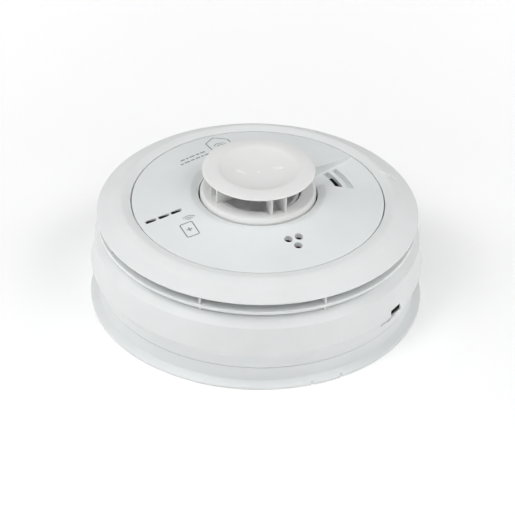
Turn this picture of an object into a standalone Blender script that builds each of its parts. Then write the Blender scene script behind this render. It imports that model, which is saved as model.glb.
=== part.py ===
"""Heat and carbon monoxide alarm head on its slide-on mounting base.

Frame: origin at the centre of the mounting base's back face, +Z out of that face
towards the sensor cage, -Y towards the cable knock-out, +X the way the head slides off.
Shapes are built in millimetres and stored in metres.
"""

import math

import bmesh
import bpy
from mathutils import Matrix, Vector, geometry

MM = 0.001

# ---- driving dimensions, in millimetres ------------------------------------
SEG = 40              # segments of the large turned parts
R_FLANGE = 70.5       # outer radius of the base's flared rim
R_BASE = 66.85        # base wall
R_HEAD = 70.1         # widest line of the head's wall
R_LIP = 68.5          # top of the head's wall
R_DISC = 67.45        # edge of the top ring
R_SEAM = 53.0         # joint line between the top ring and the button
R_CAGE = 24.3         # base ring of the sensor cage
R_CAP = 23.6          # cap of the sensor cage
Z_BASE = 8.3          # top of the base wall
Z_HEAD = 8.7          # lowest edge of the head
Z_CREASE = 17.6       # height of that line
Z_LIP = 29.2          # top of the head's wall
Z_TOP = 62.0          # top of the cap
BASE_FLOOR = 2.0      # thickness of the base's floor
GAP = 0.3             # clearance between fixed neighbours
SLIDE = 14.0          # travel of the head on the base
PRESS = 1.0           # travel of the test button
RAIL_Y = 37.0         # inner side of the base's rails
SLOT_AZ = -59.3       # direction of the removal slot
CATCH_R = 60.0        # distance of the catch's pivot from the centre
CATCH_Z = 4.6         # height of the catch's pivot
RIB_AZ = [-90 + 45 * k for k in range(8)]
POST_R, POST_AZ = 60.5, (-30, 60, 150, -120)   # screws that join the head's two shells
BOARD_R, BOARD_AZ = 50.0, (30, 150, -90)       # screws of the circuit board
BOARD = (22.0, 23.6)  # under and upper face of the circuit board
ON_BOARD = BOARD[1] + GAP
SPRING_R, SPRING_AZ = 53.6, (90, 210, 330)
SOUNDER = (35.0, 0.0)
GAS_CELL = (0.0, -36.0)
GAS_HOLES = ((-2.35, -35.05), (2.35, -35.05), (0.0, -39.6))
LIGHT_SLOTS = (-47.7, -42.0, -36.5)
LIGHT_TOPS = (46.3, 47.2, 48.1)   # tips of the light guides
LIGHT_Y = 1.4
SWITCH = (-20.0, -36.0)
PIN_Y = (10.5, 15.0, 19.5)
TERMINAL_X = (-10.5, -3.5, 3.5, 10.5)
TERMINAL_Y = 1.0

for item in list(bpy.data.objects):
    bpy.data.objects.remove(item, do_unlink=True)


# ---- shape helpers, all in millimetres --------------------------------------
def polar(radius, azimuth):
    a = math.radians(azimuth)
    return radius * math.cos(a), radius * math.sin(a)


def finish_mesh(bm):
    bmesh.ops.remove_doubles(bm, verts=bm.verts, dist=1e-4)
    bmesh.ops.recalc_face_normals(bm, faces=bm.faces)
    return bm


def turned(profile, segs=SEG, centre=(0.0, 0.0)):
    """A closed (radius, height) outline turned about a vertical axis."""
    bm = bmesh.new()
    verts = [bm.verts.new((r, 0.0, z)) for r, z in profile]
    edges = []
    for i in range(len(verts)):
        j = (i + 1) % len(verts)
        if profile[i][0] < 1e-6 and profile[j][0] < 1e-6:
            continue
        edges.append(bm.edges.new((verts[i], verts[j])))
    bmesh.ops.spin(bm, geom=verts + edges, cent=(0, 0, 0), axis=(0, 0, 1),
                   angle=2 * math.pi, steps=segs, use_merge=True)
    finish_mesh(bm)
    bmesh.ops.translate(bm, verts=bm.verts, vec=(centre[0], centre[1], 0))
    return bm


def box(x0, x1, y0, y1, z0, z1):
    bm = bmesh.new()
    bmesh.ops.create_cube(bm, size=1.0)
    bmesh.ops.scale(bm, verts=bm.verts, vec=(x1 - x0, y1 - y0, z1 - z0))
    bmesh.ops.translate(bm, verts=bm.verts, vec=((x0 + x1) / 2, (y0 + y1) / 2, (z0 + z1) / 2))
    return bm


def prism(outline, z0, z1):
    """A flat (x, y) outline extruded from z0 to z1."""
    bm = bmesh.new()
    face = bm.faces.new([bm.verts.new((x, y, z0)) for x, y in outline])
    grown = bmesh.ops.extrude_face_region(bm, geom=[face])
    top = [g for g in grown["geom"] if isinstance(g, bmesh.types.BMVert)]
    bmesh.ops.translate(bm, verts=top, vec=(0, 0, z1 - z0))
    bmesh.ops.recalc_face_normals(bm, faces=bm.faces)
    return bm


def cylinder(x, y, radius, z0, z1, segs=16):
    bm = bmesh.new()
    bmesh.ops.create_cone(bm, cap_ends=True, segments=segs, radius1=radius, radius2=radius, depth=z1 - z0)
    bmesh.ops.translate(bm, verts=bm.verts, vec=(x, y, (z0 + z1) / 2))
    return bm


def stadium(cx, cy, length, width, z0, z1, steps=5):
    """A slot shape with round ends, long along X."""
    half, r = (length - width) / 2, width / 2
    outline = []
    for side, start in ((1, -90), (-1, 90)):
        for k in range(steps + 1):
            dx, dy = polar(r, start + 180 * k / steps)
            outline.append((cx + side * half + dx, cy + dy))
    return prism(outline, z0, z1)


def along(bm, azimuth, radius=0.0, z=0.0):
    """Puts a shape built with +X outward and +Y tangential at an azimuth."""
    x, y = polar(radius, azimuth)
    bmesh.ops.rotate(bm, verts=bm.verts, cent=(0, 0, 0), matrix=Matrix.Rotation(math.radians(azimuth), 3, "Z"))
    bmesh.ops.translate(bm, verts=bm.verts, vec=(x, y, z))
    return bm


def turn(bm, degrees, axis, cent=(0, 0, 0)):
    bmesh.ops.rotate(bm, verts=bm.verts, cent=cent, matrix=Matrix.Rotation(math.radians(degrees), 3, axis))
    return bm


def together(parts):
    """Several separate shapes in one mesh."""
    out = bmesh.new()
    for bm in parts:
        mesh = bpy.data.meshes.new("part")
        bm.to_mesh(mesh)
        bm.free()
        out.from_mesh(mesh)
        bpy.data.meshes.remove(mesh)
    return out


def hidden(bm):
    mesh = bpy.data.meshes.new("tool")
    bm.to_mesh(mesh)
    bm.free()
    ob = bpy.data.objects.new("tool", mesh)
    ob.hide_render = True
    ob.display_type = "WIRE"
    bpy.context.scene.collection.objects.link(ob)
    return ob


def combine(bm, *steps):
    """Applies ("UNION" or "DIFFERENCE", shape) steps in turn with exact booleans."""
    target = hidden(bm)
    tools = []
    for operation, shape in steps:
        tool = hidden(shape)
        tools.append(tool)
        cut = target.modifiers.new("cut", "BOOLEAN")
        cut.operation = operation
        cut.solver = "EXACT"
        cut.object = tool
    bpy.context.view_layer.update()
    graph = bpy.context.evaluated_depsgraph_get()
    mesh = bpy.data.meshes.new_from_object(target.evaluated_get(graph))
    out = bmesh.new()
    out.from_mesh(mesh)
    bmesh.ops.remove_doubles(out, verts=out.verts, dist=2e-4)
    bmesh.ops.dissolve_degenerate(out, edges=out.edges, dist=1e-4)
    bmesh.ops.dissolve_limit(out, angle_limit=math.radians(0.05), verts=out.verts, edges=out.edges)
    bpy.data.meshes.remove(mesh)
    for ob in tools + [target]:
        data = ob.data
        bpy.data.objects.remove(ob, do_unlink=True)
        bpy.data.meshes.remove(data)
    return out


# ---- materials ---------------------------------------------------------------
def material(name, rgb, roughness, metallic=0.0, alpha=1.0):
    mat = bpy.data.materials.new(name)
    mat.use_nodes = True
    shader = mat.node_tree.nodes["Principled BSDF"]
    shader.inputs["Base Color"].default_value = (*rgb, 1.0)
    shader.inputs["Roughness"].default_value = roughness
    shader.inputs["Metallic"].default_value = metallic
    shader.inputs["Alpha"].default_value = alpha
    return mat


WHITE = material("white_shell", (0.82, 0.84, 0.84), 0.38)
WHITE_BASE = material("white_base", (0.80, 0.82, 0.82), 0.42)
WHITE_BUTTON = material("white_button", (0.83, 0.85, 0.85), 0.36)
WHITE_CAGE = material("white_cage", (0.84, 0.84, 0.83), 0.38)
IVORY = material("ivory_plastic", (0.74, 0.74, 0.70), 0.5)
BLACK = material("black_plastic", (0.03, 0.03, 0.03), 0.5)
SMOKED = material("smoked_guide", (0.06, 0.07, 0.07), 0.15)
MESH_GREY = material("mesh_grey", (0.35, 0.35, 0.34), 0.5, 0.6)
BOARD_GREEN = material("board_green", (0.03, 0.17, 0.08), 0.45)
BRASS = material("brass", (0.78, 0.62, 0.28), 0.3, 1.0)
STEEL = material("zinc_steel", (0.62, 0.63, 0.65), 0.35, 1.0)
COPPER = material("copper_wire", (0.62, 0.30, 0.14), 0.4, 1.0)
FERRITE = material("ferrite", (0.07, 0.07, 0.075), 0.6)
SLEEVE = material("capacitor_sleeve", (0.04, 0.05, 0.10), 0.35)
FILM_YELLOW = material("film_box", (0.62, 0.48, 0.10), 0.45)
VARISTOR = material("varistor_blue", (0.05, 0.16, 0.42), 0.4)
CELL = material("cell_steel", (0.66, 0.66, 0.66), 0.28, 1.0)
GAS_STEEL = material("gas_cell_body", (0.55, 0.55, 0.56), 0.35, 1.0)
FILTER_RED = material("filter_red", (0.16, 0.02, 0.02), 0.85)
BEAD = material("thermistor_bead", (0.05, 0.05, 0.06), 0.25)
CHIP = material("chip_black", (0.02, 0.02, 0.022), 0.45)
PIEZO = material("piezo_brass", (0.74, 0.60, 0.30), 0.3, 1.0)
LED_GREEN = material("led_green", (0.10, 0.50, 0.14), 0.25)
LED_RED = material("led_red", (0.55, 0.05, 0.04), 0.25)
LED_AMBER = material("led_amber", (0.70, 0.36, 0.04), 0.25)


# ---- bodies: one empty for each, on its joint's axis -------------------------
def empty(name, x=0.0, y=0.0, z=0.0, parent=None):
    ob = bpy.data.objects.new(name, None)
    bpy.context.scene.collection.objects.link(ob)
    if parent:
        ob.parent = parent
        ob.location = Vector((x, y, z)) * MM - parent.matrix_world.translation
    else:
        ob.location = Vector((x, y, z)) * MM
    bpy.context.view_layer.update()
    return ob


base_body = empty("body_base")
head_body = empty("body_head", 0, 0, Z_HEAD, base_body)
button_body = empty("body_button", 0, 0, 46.0, head_body)
plunger_body = empty("body_plunger", SWITCH[0], SWITCH[1], 27.4, head_body)
catch_body = empty("body_catch", *polar(CATCH_R, SLOT_AZ), CATCH_Z, base_body)


def node(name, bm, mat, body, origin=None, smooth=35.0):
    """Makes the named object, in metres, with its origin at `origin` (mm) or on its body's axis."""
    start = Vector(origin) * MM if origin else body.matrix_world.translation.copy()
    mesh = bpy.data.meshes.new(name)
    bmesh.ops.scale(bm, verts=bm.verts, vec=(MM, MM, MM))
    bmesh.ops.translate(bm, verts=bm.verts, vec=-start)
    bmesh.ops.recalc_face_normals(bm, faces=bm.faces)
    bm.to_mesh(mesh)
    bm.free()
    mesh.materials.append(mat)
    mesh.shade_smooth()
    mesh.set_sharp_from_angle(angle=math.radians(smooth))
    ob = bpy.data.objects.new(name, mesh)
    bpy.context.scene.collection.objects.link(ob)
    ob.parent = body
    ob.location = start - body.matrix_world.translation
    return ob


def each(name, shapes, mat, body, origins):
    """A row of identical pieces, each its own object: name_1, name_2 and so on."""
    for number, (bm, origin) in enumerate(zip(shapes, origins), 1):
        node(f"{name}_{number}", bm, mat, body, origin)


# ---- mounting base -------------------------------------------------------------
base = turned([(0, 0), (R_FLANGE, 0), (R_FLANGE, 0.8), (69.9, 1.35), (67.3, 2.2), (R_BASE, 2.6),
               (R_BASE, Z_BASE), (65.2, Z_BASE), (65.1, BASE_FLOOR), (0, BASE_FLOOR)])
rails = []
for side in (-1, 1):
    y0, y1, y2 = side * RAIL_Y, side * (RAIL_Y + 1.8), side * (RAIL_Y + 5.2)
    web = box(-20, 20, min(y0, y1), max(y0, y1), BASE_FLOOR - 0.5, 13.0)
    hooks = [box(x0, x1, min(y1, y2) - (0.5 if side > 0 else 0), max(y1, y2) + (0.5 if side < 0 else 0), 11.2, 13.0)
             for x0, x1 in ((-20, -8), (8, 20))]
    rails.append(combine(web, ("UNION", hooks[0]), ("UNION", hooks[1])))
pads = [box(side * 30 - 5.5, side * 30 + 5.5, -9.5, 9.5, BASE_FLOOR - 0.5, BASE_FLOOR + 0.6) for side in (-1, 1)]
ears = [along(box(-1.9, 1.9, y0, y1, BASE_FLOOR - 0.5, CATCH_Z + 1.9), SLOT_AZ, CATCH_R) for y0, y1 in ((5.1, 6.7), (-6.7, -5.1))]
pin_hole = along(turn(cylinder(0, 0, 1.3, -9, 9, 12), 90, "X"), SLOT_AZ, CATCH_R, CATCH_Z)
holes = [box(-14, 14, -35, -17, -1, 3)]
for side in (-1, 1):
    holes.append(turn(stadium(0, side * -30.0, 13.0, 4.6, -1, 3), 90, "Z"))
for azimuth in (-95.35, -84.65):
    holes.append(along(box(-0.9, 3, -0.6, 0.6, -1, 3), azimuth, R_FLANGE))
base = combine(base, ("UNION", together(rails)), ("UNION", together(pads)), ("UNION", together(ears)),
               ("DIFFERENCE", together(holes)), ("DIFFERENCE", pin_hole))
node("mounting_base", base, WHITE_BASE, base_body)

# ---- mains terminals on the base ----------------------------------------------
floor = BASE_FLOOR + GAP
block = box(-15, 15, -6, 22, floor, 14.5)
tunnels = [box(x - 1.9, x + 1.9, -7, 5, 4.6, 8.4) for x in TERMINAL_X]
wells = [cylinder(x, TERMINAL_Y, 2.4, 6.0, 15.5, 12) for x in TERMINAL_X]
sockets = [box(3, 16, y - 1.7, y + 1.7, 5.6, 10.6) for y in PIN_Y]
node("terminal_block", combine(block, ("DIFFERENCE", together(tunnels)), ("DIFFERENCE", together(wells)),
                               ("DIFFERENCE", together(sockets))), BLACK, base_body, (0, 8, floor))
clamps = [combine(box(x - 1.6, x + 1.6, -1.4, 3.4, 4.9, 8.1), ("DIFFERENCE", box(x - 1.0, x + 1.0, -2, 4, 5.5, 7.5)))
          for x in TERMINAL_X]
each("terminal_clamp", clamps, BRASS, base_body, [(x, TERMINAL_Y, 6.5) for x in TERMINAL_X])
screws = []
for x in TERMINAL_X:
    shape = turned([(0, 8.5), (1.3, 8.5), (1.3, 11.2), (2.0, 11.2), (2.0, 12.9), (0, 12.9)], 12, (x, TERMINAL_Y))
    screws.append(combine(shape, ("DIFFERENCE", box(x - 2.5, x + 2.5, TERMINAL_Y - 0.3, TERMINAL_Y + 0.3, 12.2, 13.5))))
each("terminal_screw", screws, STEEL, base_body, [(x, TERMINAL_Y, 11.2) for x in TERMINAL_X])
contacts = []
for y in PIN_Y:
    clip = combine(box(3.4, 13.5, y - 1.3, y + 1.3, 6.2, 10.0), ("DIFFERENCE", box(4.2, 14, y - 2, y + 2, 7.2, 9.0)))
    contacts.append(clip)
each("socket_contact", contacts, BRASS, base_body, [(8, y, 8.1) for y in PIN_Y])
cover = combine(box(-16.5, 16.5, -14.6, 7.0, floor, 16.1),
                ("DIFFERENCE", box(-15.4, 15.4, -13.5, 8, 1, 14.9)),
                ("DIFFERENCE", box(-18, 18, -6.4, 8, 1, 14.9)),
                ("DIFFERENCE", box(-12.5, 12.5, -16, -10, 1, 9.4)))
node("terminal_cover", cover, IVORY, base_body, (0, -4, 15))

# ---- release catch, in its own frame: +X outward, +Y along the pivot ------------
plate = box(-0.8, 0.8, -4.0, 4.0, CATCH_Z, 19.6)
barrel = turn(cylinder(0, 0, 2.4, -4.6, 4.6, 12), 90, "X")
bmesh.ops.translate(barrel, verts=barrel.verts, vec=(0, 0, CATCH_Z))
nose = turn(prism([(0.5, -14.5), (2.6, -16.4), (2.6, -19.6), (0.5, -19.6)], -4.0, 4.0), -90, "X")
# pad behind the removal slot, where a blade pushes the catch inwards
pad = turn(prism([(0.3, -13.5), (4.3, -13.5), (4.3, -15.0), (5.6, -16.3), (5.6, -19.4), (0.3, -19.4)], -3.1, 3.1), -90, "X")
bore = turn(cylinder(0, 0, 1.3, -9, 9, 12), 90, "X")
bmesh.ops.translate(bore, verts=bore.verts, vec=(0, 0, CATCH_Z))
catch = combine(plate, ("UNION", barrel), ("UNION", nose), ("UNION", pad), ("DIFFERENCE", bore))
node("release_catch", along(catch, SLOT_AZ, CATCH_R), BLACK, catch_body)
node("catch_pin", along(turn(cylinder(0, 0, 1.0, -6.6, 6.6, 12), 90, "X"), SLOT_AZ, CATCH_R, CATCH_Z), STEEL, base_body,
     (*polar(CATCH_R, SLOT_AZ), CATCH_Z))

# ---- head: side shell, and the front cover that stands on it ------------------------------
wall = turned([(66.9, Z_HEAD), (67.1, 11.4), (67.9, 14.9), (R_HEAD, Z_CREASE), (R_LIP, Z_LIP), (67.9, 30.1),
               (64.6, 33.2), (63.6, 33.5), (60.2, 33.2), (60.2, 31.0), (64.4, 31.0), (66.4, 28.8),
               (67.9, 18.2), (65.7, 14.4), (65.2, Z_HEAD)])
posts = [combine(cylinder(*polar(POST_R, az), 3.6, 13.4, 32.2, 12), ("DIFFERENCE", cylinder(0, 0, 59.5, 30.6, 34, SEG))) for az in POST_AZ]
pilots = [cylinder(*polar(POST_R, az), 1.8, 12, 26.0, 10) for az in POST_AZ]
removal_slot = along(box(-5, 6, -3.4, 3.4, 16.2, 20.2), SLOT_AZ, 68.0)
slot_relief = along(turn(prism([(63, -15.3), (66.7, -15.3), (68.8, -17.9), (68.8, -20.8), (63, -20.8)], -4.6, 4.6), -90, "X"), SLOT_AZ)
shell = combine(wall, ("UNION", together(posts)), ("DIFFERENCE", together(pilots)), ("DIFFERENCE", slot_relief), ("DIFFERENCE", removal_slot))
node("side_shell", shell, WHITE, head_body)

fin = turned([(66.5, 35.1), (66.8, 35.4), (66.8, 36.4), (66.5, 36.6), (61.0, 36.6), (61.0, 35.1)])
ring = turned([(R_DISC, 40.45), (R_DISC, 40.8), (62.2, 44.0), (58.4, 46.2), (57.0, 46.6), (55.6, 46.45), (R_SEAM + 0.25, 45.7),
               (R_SEAM + 0.25, 44.0), (57.0, 44.4)])
ribs = []
for azimuth in RIB_AZ:
    rib = prism([(60.3, -33.6), (60.3, -43.6), (65.9, -41.0), (66.2, -38.0), (66.2, -36.0), (65.6, -33.2), (64.8, -33.5), (63.7, -33.9)], -0.4, 0.4)
    ribs.append(along(turn(rib, -90, "X"), azimuth))
node("front_cover", combine(ring, ("UNION", together(ribs)), ("UNION", fin)), WHITE, head_body)

# ---- head: rear housing with the recess that slides over the base --------------------
wide, narrow = RAIL_Y + 6.0, RAIL_Y + 2.2
mouth = [(-36.5, -wide), (-21.5, -wide), (-21.5, -narrow), (-7, -narrow), (-7, -wide), (7, -wide), (7, -narrow), (22, -narrow),
         (22, narrow), (7, narrow), (7, wide), (-7, wide), (-7, narrow), (-21.5, narrow), (-21.5, wide), (-36.5, wide)]
floor_plate = turned([(0, 9.0), (64.8, 9.0), (64.8, 13.0), (63.2, 13.0), (63.2, 10.8), (0, 10.8)])
recess = box(-38.1, 24.0, -46.0, 46.0, 9.4, 18.8)
bosses = [cylinder(*polar(POST_R - 0.4, az), 4.3, 9.3, 13.05, 12) for az in POST_AZ]
supports = [cylinder(*polar(BOARD_R, az), 3.2, 9.4, BOARD[0] - GAP, 12) for az in BOARD_AZ]
inside = box(-36.5, 22.4, -44.4, 44.4, 10.8, 17.2)
catch_zone = []
for radius in (57.4, 62.7):
    for offset in (-5.0, 5.0):
        a = math.radians(SLOT_AZ)
        x = radius * math.cos(a) - offset * math.sin(a)
        y = radius * math.sin(a) + offset * math.cos(a)
        catch_zone += [Vector((x + 0.4, y)), Vector((x - SLIDE - 0.5, y))]
pocket = [tuple(catch_zone[i]) for i in geometry.convex_hull_2d(catch_zone)]
screw_holes = [cylinder(*polar(POST_R, az), 3.1, 8, 11.3, 12) for az in POST_AZ]
screw_holes += [cylinder(*polar(POST_R, az), 1.8, 11.2, 15, 10) for az in POST_AZ]
board_holes = [cylinder(*polar(BOARD_R, az), 1.5, 15.0, 23.0, 8) for az in BOARD_AZ]
pin_slots = [box(17.5, 19.3, y - 1.55, y + 1.55, 16, 20) for y in PIN_Y]
rear = combine(floor_plate, ("UNION", recess), ("UNION", together(bosses)), ("UNION", together(supports)), ("DIFFERENCE", inside),
               ("DIFFERENCE", prism(mouth, 8, 11.5)), ("DIFFERENCE", prism(pocket, 8, 11.2)),
               ("DIFFERENCE", together(screw_holes[:4])), ("DIFFERENCE", together(screw_holes[4:])),
               ("DIFFERENCE", together(board_holes)), ("DIFFERENCE", together(pin_slots)))
node("rear_housing", rear, WHITE, head_body)
each("housing_screw", [turned([(0, 9.3), (2.7, 9.3), (2.7, 10.3), (1.4, 10.9), (1.4, 24.0), (0, 24.8)], 10, polar(POST_R, az))
                       for az in POST_AZ], STEEL, head_body, [(*polar(POST_R, az), 9.3) for az in POST_AZ])
each("connector_pin", [combine(box(17.9, 18.9, y - 1.2, y + 1.2, 7.6, BOARD[0] - GAP), ("UNION", box(5.0, 18.4, y - 1.2, y + 1.2, 7.6, 8.6)))
                       for y in PIN_Y], BRASS, head_body, [(18.4, y, 8.1) for y in PIN_Y])

# ---- circuit board and what stands on it ------------------------------------------------
board = combine(turned([(0, BOARD[0]), (56.0, BOARD[0]), (56.0, BOARD[1]), (0, BOARD[1])], 40),
                ("DIFFERENCE", together([cylinder(*polar(BOARD_R, az), 1.6, 21, 25, 8) for az in BOARD_AZ])))
node("main_pcb", board, BOARD_GREEN, head_body, (0, 0, BOARD[0]))
each("pcb_screw", [turned([(0, 16.0), (1.1, 16.0), (1.1, ON_BOARD), (2.5, ON_BOARD), (2.2, ON_BOARD + 1.4), (0, ON_BOARD + 1.6)], 10,
                          polar(BOARD_R, az)) for az in BOARD_AZ], STEEL, head_body, [(*polar(BOARD_R, az), ON_BOARD) for az in BOARD_AZ])

hx, hy = SOUNDER
horn = turned([(14.2, ON_BOARD), (14.2, 38.0), (0, 38.0), (0, 36.6), (12.9, 36.6), (12.9, 27.9), (11.4, 27.9), (11.4, ON_BOARD)], 28, SOUNDER)
horn = combine(horn, ("UNION", box(hx - 2.0, hx + 9.2, hy - 8.0, hy + 8.0, 37.0, 39.3)),
               ("DIFFERENCE", box(hx - 0.8, hx + 8.0, hy - 6.8, hy + 6.8, 36.0, 43.0)))
node("sounder_horn", horn, BLACK, head_body, (hx, hy, ON_BOARD))
node("piezo_disc", together([cylinder(hx, hy, 12.5, 28.2, 28.8, 28)]), PIEZO, head_body, (hx, hy, 28.2))

gx, gy = GAS_CELL
node("co_sensor_cell", turned([(0, ON_BOARD), (8.4, ON_BOARD), (9.8, 24.8), (9.8, 41.3), (9.2, 42.3), (0, 42.3)], 24, GAS_CELL), GAS_STEEL,
     head_body, (gx, gy, ON_BOARD))
node("co_sensor_filter", turned([(0, 42.6), (7.6, 42.6), (7.6, 43.7), (0, 43.7)], 20, GAS_CELL), FILTER_RED, head_body, (gx, gy, 42.6))

# carrier of the thermistor: a cup under the cage's opening with a stem in the middle
carrier = turned([(0, ON_BOARD), (6.0, ON_BOARD), (6.0, 39.5), (17.2, 39.5), (17.2, 50.4), (16.0, 50.4), (16.0, 41.0), (3.6, 41.0),
                  (3.0, 50.0), (0, 50.0)], 28)
node("thermistor_carrier", carrier, IVORY, head_body, (0, 0, ON_BOARD))
leads = turned([(0, 52.6), (0.9, 52.9), (1.3, 54.2), (1.0, 55.6), (0, 56.2)], 10)
bead = combine(leads, ("UNION", box(-0.75, -0.35, -0.2, 0.2, 50.3, 53.8)), ("UNION", box(0.35, 0.75, -0.2, 0.2, 50.3, 53.8)))
node("thermistor", bead, BEAD, head_body, (0, 0, 50.3))

for name, x, mat in (("led_green", LIGHT_SLOTS[0], LED_GREEN), ("led_amber", LIGHT_SLOTS[1], LED_AMBER), ("led_red", LIGHT_SLOTS[2], LED_RED)):
    lamp = combine(box(x - 1.6, x + 1.6, LIGHT_Y - 1.4, LIGHT_Y + 1.4, ON_BOARD, 24.9), ("UNION", cylinder(x, LIGHT_Y, 1.1, 24.7, 25.9, 10)))
    node(name, lamp, mat, head_body, (x, LIGHT_Y, ON_BOARD))
risers = [stadium(x, LIGHT_Y, 4.2, 1.3, 27.5, top) for x, top in zip(LIGHT_SLOTS, LIGHT_TOPS)]
feet = [box(-52.2, -50.3, LIGHT_Y - 1.1, LIGHT_Y + 1.1, ON_BOARD, 28.2), box(-33.9, -32.4, LIGHT_Y - 1.1, LIGHT_Y + 1.1, ON_BOARD, 28.2)]
bridge = box(-52.2, -32.4, LIGHT_Y - 1.1, LIGHT_Y + 1.1, 26.3, 28.2)
guide = combine(bridge, ("UNION", together(feet)), ("UNION", together(risers)))
node("light_pipes", guide, SMOKED, head_body, (-42, LIGHT_Y, 26.3))

sx, sy = SWITCH
node("switch_body", combine(box(sx - 3.6, sx + 3.6, sy - 3.6, sy + 3.6, ON_BOARD, 27.4), ("DIFFERENCE", cylinder(sx, sy, 2.2, 24.3, 28, 12))),
     CHIP, head_body, (sx, sy, ON_BOARD))
node("switch_plunger", together([cylinder(sx, sy, 1.7, 25.6, 29.3, 12)]), IVORY, plunger_body)

cells = []
for az in (150, -150):
    cx, cy = polar(34.0, az)
    cells.append(turned([(0, ON_BOARD + 0.1), (10.2, ON_BOARD + 0.1), (11.5, 24.9), (11.5, 26.9), (11.2, 27.2), (0, 27.2)], 24, (cx, cy)))
each("backup_cell", cells, CELL, head_body, [(*polar(34.0, az), ON_BOARD) for az in (150, -150)])

core = combine(box(-9, 9, 30, 44, 24.4, 38.4), ("DIFFERENCE", box(-6, -2.6, 29, 45, 27.4, 35.4)), ("DIFFERENCE", box(2.6, 6, 29, 45, 27.4, 35.4)))
node("transformer_core", core, FERRITE, head_body, (0, 37, 24.4))
winding = combine(box(-5.7, 5.7, 28, 46, 27.7, 35.1), ("DIFFERENCE", box(-2.9, 2.9, 29.7, 44.3, 27, 36)))
node("transformer_winding", winding, COPPER, head_body, (0, 37, 27.7))
caps = [turned([(0, 24.2), (4.8, 24.2), (5.0, 24.6), (5.0, 39.6), (4.6, 40.0), (0, 40.0)], 16, c) for c in ((18.0, 33.0), (28.5, 27.0))]
each("supply_capacitor", caps, SLEEVE, head_body, [(18.0, 33.0, 24.2), (28.5, 27.0, 24.2)])
node("film_capacitor", together([box(-25, -11.5, 33, 39.5, 24.2, 35.2)]), FILM_YELLOW, head_body, (-18, 36, 24.2))
disc = turn(turned([(0, -1.7), (4.1, -1.7), (4.5, -1.2), (4.5, 1.2), (4.1, 1.7), (0, 1.7)], 16), 90, "X")
bmesh.ops.translate(disc, verts=disc.verts, vec=(-12.5, 26.5, 29.2))
node("surge_varistor", disc, VARISTOR, head_body, (-12.5, 26.5, 29.2))
node("bridge_rectifier", together([box(17, 23, 14.5, 19.5, ON_BOARD, 26.4)]), CHIP, head_body, (20, 17, ON_BOARD))
node("microcontroller", together([box(17.5, 26.5, -34.5, -25.5, ON_BOARD, 25.1)]), CHIP, head_body, (22, -30, ON_BOARD))

# ---- inner frame, insect screen and button springs ---------------------------------------
frame = turned([(51.2, 28.9), (63.2, 28.9), (63.2, 30.6), (51.2, 30.6)])
pegs = [cylinder(*polar(SPRING_R, az), 1.0, 30.2, 33.8, 8) for az in SPRING_AZ]
notches = [cylinder(*polar(POST_R, az), 4.1, 28, 32, 12) for az in POST_AZ]
node("inner_frame", combine(frame, ("UNION", together(pegs)), ("DIFFERENCE", together(notches))), IVORY, head_body, (0, 0, 28.9))
node("insect_screen", turned([(58.3, 30.9), (59.0, 30.9), (59.0, 43.2), (58.3, 43.2)]), MESH_GREY, head_body, (0, 0, 30.9))

springs = []
for az in SPRING_AZ:
    cx, cy = polar(SPRING_R, az)
    turns, steps, wire, mean, z0, z1 = 5, 8, 0.3, 1.75, 31.2, 41.2
    bm = bmesh.new()
    rings = []
    for k in range(turns * steps + 1):
        a = 2 * math.pi * k / steps
        z = z0 + (z1 - z0) * k / (turns * steps)
        ring_verts = []
        for s in range(4):
            b = math.pi / 4 + math.pi / 2 * s
            r = mean + wire * math.cos(b)
            ring_verts.append(bm.verts.new((cx + r * math.cos(a), cy + r * math.sin(a), z + wire * math.sin(b))))
        rings.append(ring_verts)
    for lower, upper in zip(rings, rings[1:]):
        for s in range(4):
            bm.faces.new((lower[s], lower[(s + 1) % 4], upper[(s + 1) % 4], upper[s]))
    bm.faces.new(rings[0])
    bm.faces.new(rings[-1])
    bmesh.ops.recalc_face_normals(bm, faces=bm.faces)
    springs.append(bm)
each("button_spring", springs, STEEL, head_body, [(*polar(SPRING_R, az), 31.2) for az in SPRING_AZ])

# ---- test button ------------------------------------------------------------------------------
R_BUTTON, R_HOLE = R_SEAM - 0.25, R_CAGE + 0.65
button = turned([(R_BUTTON, 45.75), (48.0, 46.55), (42.0, 47.5), (36.0, 48.5), (31.6, 49.6), (28.3, 50.3), (26.4, 50.1), (R_HOLE, 49.5),
                 (R_HOLE, 46.6), (26.8, 46.6), (28.3, 47.9), (36.0, 46.5), (45.0, 45.1), (51.0, 44.2), (51.0, 41.8), (55.3, 41.8),
                 (55.3, 43.5), (R_BUTTON, 43.5)])
# sounder recess: a wedge with side walls, whose flat floor runs into the button's slope near the joint line
wedge = [(20.0, -3.8), (56.0, -16.4), (56.0, 16.4), (20.0, 3.8)]
tray = [(20.0, -5.4), (56.0, -18.0), (56.0, 18.0), (20.0, 5.4)]
tray_bm = combine(turned([(25.4, 43.6), (51.8, 43.6), (51.8, 45.2), (45.0, 46.2), (36.0, 47.6), (28.3, 49.1), (26.6, 49.1), (25.4, 48.7)]),
                  ("INTERSECT", prism(tray, 40, 52)))
cut = combine(turned([(20.0, 45.1), (49.6, 45.1), (53.2, 46.05), (53.2, 54.0), (20.0, 54.0)]), ("INTERSECT", prism(wedge, 44.0, 55.0)))
fan = [polar(30, -13.6), polar(50, -13.6), polar(50, 13.6), polar(30, 13.6)]
wide_fan = [polar(30, -15.4), polar(50, -15.4), polar(50, 15.4), polar(30, 15.4)]
half_fan = [polar(30, -13.1), polar(50, -13.1), polar(50, -2.0), polar(30, -2.0)]
duct = combine(turned([(33.9, 41.4), (43.7, 41.4), (43.7, 44.2), (33.9, 44.2)], 80), ("INTERSECT", prism(wide_fan, 40.0, 46.0)))
slots = []
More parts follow.
